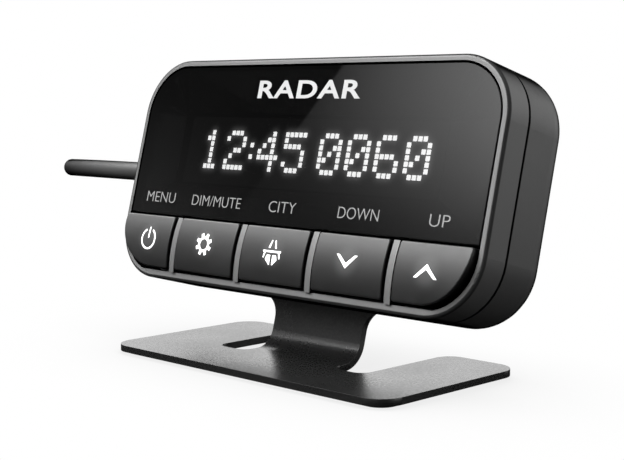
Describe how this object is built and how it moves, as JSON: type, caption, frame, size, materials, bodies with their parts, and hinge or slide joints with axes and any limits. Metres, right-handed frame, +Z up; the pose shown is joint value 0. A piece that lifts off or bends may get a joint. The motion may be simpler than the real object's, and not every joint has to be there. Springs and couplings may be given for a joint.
{
  "type": "radar detector display head",
  "caption": "Slim dashboard display head of a split radar detector: leaning rounded face, dot-matrix display behind a dark lens, press keys, side cable and a bent-sheet stand.",
  "frame": {"origin": "on the resting plane, under the middle of the stand's front strip", "axes": "+Z up; the face looks towards -Y and leans back; +X is the right of a user who looks at the face"},
  "size_m": [0.1132, 0.0291, 0.0448],
  "materials": {
    "stand_paint": "fine-texture black powder coat on steel sheet",
    "foam_tape": "black double-sided foam tape",
    "housing_plastic": "fine spark-eroded black plastic, satin rim",
    "cover_plastic": "fine spark-eroded black plastic",
    "lens_tint": "polished smoked acrylic, printed black behind except the window",
    "black_tape": "die-cut black adhesive tape",
    "display_glass": "display glass with a dot matrix",
    "inner_plastic": "black moulded carrier",
    "flex_film": "amber polyimide film",
    "connector_plastic": "ivory connector plastic",
    "plug_plastic": "white plug housing",
    "board_laminate": "green solder resist on glass-epoxy",
    "switch_metal": "tinned steel switch frames",
    "lamp_body": "white lamp bodies",
    "chip_body": "moulded black epoxy",
    "steel_can": "pressed steel can",
    "ferrite": "grey ferrite",
    "aluminium_can": "aluminium can",
    "speaker_steel": "plated steel basket",
    "magnet": "nickel-plated magnet",
    "speaker_film": "thin formed film",
    "foam_ring": "black foam ring",
    "brass_contact": "gold-plated spring contacts",
    "screw_steel": "black-zinc screws",
    "brass_insert": "knurled brass",
    "cable_sheath": "satin black cable sheath",
    "rubber_sleeve": "soft black strain relief",
    "wire_sheath": "coloured wire insulation",
    "key_plastic": "satin-painted keycap with a laser-etched symbol",
    "guide_acrylic": "frosted clear acrylic",
    "stem_plastic": "moulded switch stem"
  },
  "bodies": {
    "head_and_stand": {"stand_bracket": "stand_paint", "adhesive_pad": "foam_tape", "front_housing": "housing_plastic", "display_lens": "lens_tint", "lens_gasket": "black_tape", "rear_cover": "cover_plastic", "display_panel": "display_glass", "display_carrier": "inner_plastic", "display_flex": "flex_film", "flex_connector": "connector_plastic", "main_board": "board_laminate", "switch_bodies": "switch_metal", "key_lamps": "lamp_body", "processor_chip": "chip_body", "memory_chip": "chip_body", "voltage_regulator": "chip_body", "clock_crystal": "steel_can", "power_inductor": "ferrite", "bulk_capacitor": "aluminium_can", "cable_header": "connector_plastic", "cable_plug": "plug_plastic", "speaker_basket": "speaker_steel", "speaker_magnet": "magnet", "speaker_cone": "speaker_film", "speaker_gasket": "foam_ring", "speaker_contacts": "brass_contact", "housing_screws": "screw_steel", "bracket_screws": "screw_steel", "threaded_inserts": "brass_insert", "cable_jacket": "cable_sheath", "cable_grommet": "rubber_sleeve", "cable_wires": "wire_sheath"},
    "power_key": {"power_keycap": "key_plastic", "power_light_guide": "guide_acrylic", "power_switch_stem": "stem_plastic"},
    "settings_key": {"settings_keycap": "key_plastic", "settings_light_guide": "guide_acrylic", "settings_switch_stem": "stem_plastic"},
    "road_key": {"road_keycap": "key_plastic", "road_light_guide": "guide_acrylic", "road_switch_stem": "stem_plastic"},
    "down_key": {"down_keycap": "key_plastic", "down_light_guide": "guide_acrylic", "down_switch_stem": "stem_plastic"},
    "up_key": {"up_keycap": "key_plastic", "up_light_guide": "guide_acrylic", "up_switch_stem": "stem_plastic"}
  },
  "joints": [
    {"name": "power_press", "type": "slide", "parent": "head_and_stand", "child": "power_key", "axis": [0, 0.968, -0.2509], "range_m": [0, 0.0003]},
    {"name": "settings_press", "type": "slide", "parent": "head_and_stand", "child": "settings_key", "axis": [0, 0.968, -0.2509], "range_m": [0, 0.0003]},
    {"name": "road_press", "type": "slide", "parent": "head_and_stand", "child": "road_key", "axis": [0, 0.968, -0.2509], "range_m": [0, 0.0003]},
    {"name": "down_press", "type": "slide", "parent": "head_and_stand", "child": "down_key", "axis": [0, 0.968, -0.2509], "range_m": [0, 0.0003]},
    {"name": "up_press", "type": "slide", "parent": "head_and_stand", "child": "up_key", "axis": [0, 0.968, -0.2509], "range_m": [0, 0.0003]}
  ]
}
